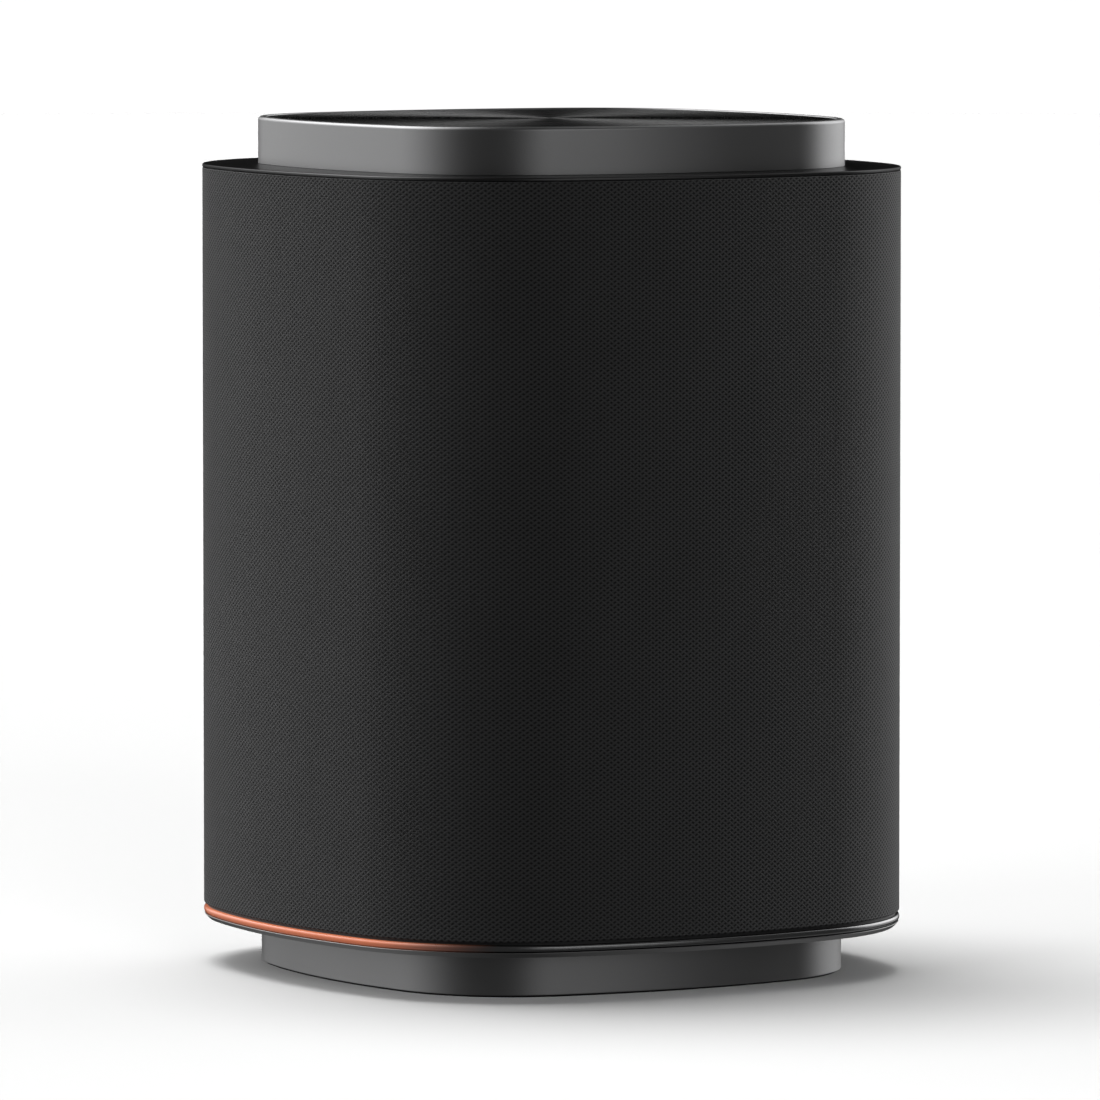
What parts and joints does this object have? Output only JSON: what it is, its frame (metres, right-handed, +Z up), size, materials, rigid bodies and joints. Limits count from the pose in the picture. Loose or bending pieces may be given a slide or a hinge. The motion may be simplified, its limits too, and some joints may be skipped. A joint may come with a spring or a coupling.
{
  "type": "smart speaker",
  "caption": "Rounded-square table-top smart speaker wrapped in black acoustic cloth, with a metal cap, a narrower metal plinth and an orange light bar.",
  "frame": {"origin": "middle of the foot's underside, on the surface the speaker stands on", "axes": "+Z up, -Y towards the front with the light bar, +X to the right as seen from the front"},
  "size_m": [0.15, 0.15, 0.1993],
  "materials": {
    "gunmetal": "satin dark anodised",
    "spun_metal": "spun, dark anodised",
    "acoustic_cloth": "fine open knit",
    "light_bar": "orange diffusing",
    "rubber_foot": "matt",
    "inner_plastic": "fine texture",
    "foam": "closed-cell foam",
    "wadding": "polyester wadding",
    "pressed_steel": "black electrocoat",
    "ferrite": "ground ferrite",
    "coil_former": "polyimide film",
    "copper": "enamelled copper wire",
    "cone_pulp": "pressed pulp",
    "soft_rubber": "soft moulded rubber",
    "spider_cloth": "resin-treated cloth",
    "radiator_metal": "satin",
    "silk_dome": "coated silk",
    "circuit_board": "solder mask",
    "chip_plastic": "moulded epoxy",
    "can_metal": "sleeved aluminium",
    "shield_metal": "tinned steel",
    "black_anodised": "black anodised",
    "wire_sleeve": "insulation",
    "ribbon_film": "polyimide film",
    "contact_metal": "plated",
    "led_lens": "lamp package",
    "screw_steel": "black zinc"
  },
  "bodies": {
    "case": {"antennas": "circuit_board", "base_plate": "inner_plastic", "base_plinth": "gunmetal", "base_screws": "screw_steel", "board_chips": "chip_plastic", "bottom_trim_ring": "gunmetal", "chassis_plate": "inner_plastic", "chassis_screws": "screw_steel", "damping_pad": "wadding", "deck_standoffs": "contact_metal", "driver_screws": "screw_steel", "enclosure_body": "inner_plastic", "enclosure_gasket": "foam", "enclosure_lid": "inner_plastic", "fabric_sleeve": "acoustic_cloth", "foot_pad": "rubber_foot", "grille_frame": "inner_plastic", "heatsink": "black_anodised", "led_board": "circuit_board", "led_ribbon": "ribbon_film", "leds": "led_lens", "lid_screws": "screw_steel", "light_guide": "light_bar", "main_board": "circuit_board", "microphones": "shield_metal", "output_chokes": "ferrite", "power_capacitors": "can_metal", "power_inlet": "chip_plastic", "power_inlet_pin": "contact_metal", "power_leads": "wire_sleeve", "radiator_frames": "inner_plastic", "radio_module": "shield_metal", "short_screws": "screw_steel", "top_cap_ring": "gunmetal", "top_deck": "black_anodised", "top_panel": "spun_metal", "touch_board": "circuit_board", "touch_ribbon": "ribbon_film", "tweeter_housings": "inner_plastic", "tweeter_magnets": "ferrite", "tweeter_screws": "screw_steel", "tweeter_surrounds": "silk_dome", "woofer_basket": "pressed_steel", "woofer_gasket": "foam", "woofer_magnet": "ferrite", "woofer_top_plate": "pressed_steel", "woofer_yoke": "pressed_steel"},
    "woofer_moving": {"woofer_cone": "cone_pulp", "woofer_dust_cap": "cone_pulp", "woofer_coil_former": "coil_former", "woofer_coil_winding": "copper", "woofer_spider": "spider_cloth", "woofer_surround": "soft_rubber"},
    "radiator_right": {"radiator_plate_right": "radiator_metal", "radiator_surround_right": "soft_rubber"},
    "radiator_left": {"radiator_plate_left": "radiator_metal", "radiator_surround_left": "soft_rubber"},
    "tweeter_left": {"tweeter_dome_left": "silk_dome"},
    "tweeter_right": {"tweeter_dome_right": "silk_dome"}
  },
  "joints": [
    {"name": "woofer_stroke", "type": "slide", "parent": "case", "child": "woofer_moving", "axis": [0, -1, 0], "range_m": [-0.0035, 0.0035], "stiffness_N_per_m": 1200, "deforming": ["woofer_surround", "woofer_spider"]},
    {"name": "radiator_right_stroke", "type": "slide", "parent": "case", "child": "radiator_right", "axis": [1, 0, 0], "range_m": [-0.004, 0.004], "stiffness_N_per_m": 1000, "deforming": ["radiator_surround_right"]},
    {"name": "radiator_left_stroke", "type": "slide", "parent": "case", "child": "radiator_left", "axis": [-1, 0, 0], "range_m": [-0.004, 0.004], "stiffness_N_per_m": 1000, "deforming": ["radiator_surround_left"]},
    {"name": "tweeter_left_stroke", "type": "slide", "parent": "case", "child": "tweeter_left", "axis": [0, -1, 0], "range_m": [-0.0003, 0.0003], "stiffness_N_per_m": 1500, "deforming": ["tweeter_surrounds"]},
    {"name": "tweeter_right_stroke", "type": "slide", "parent": "case", "child": "tweeter_right", "axis": [0, -1, 0], "range_m": [-0.0003, 0.0003], "stiffness_N_per_m": 1500, "deforming": ["tweeter_surrounds"]}
  ]
}
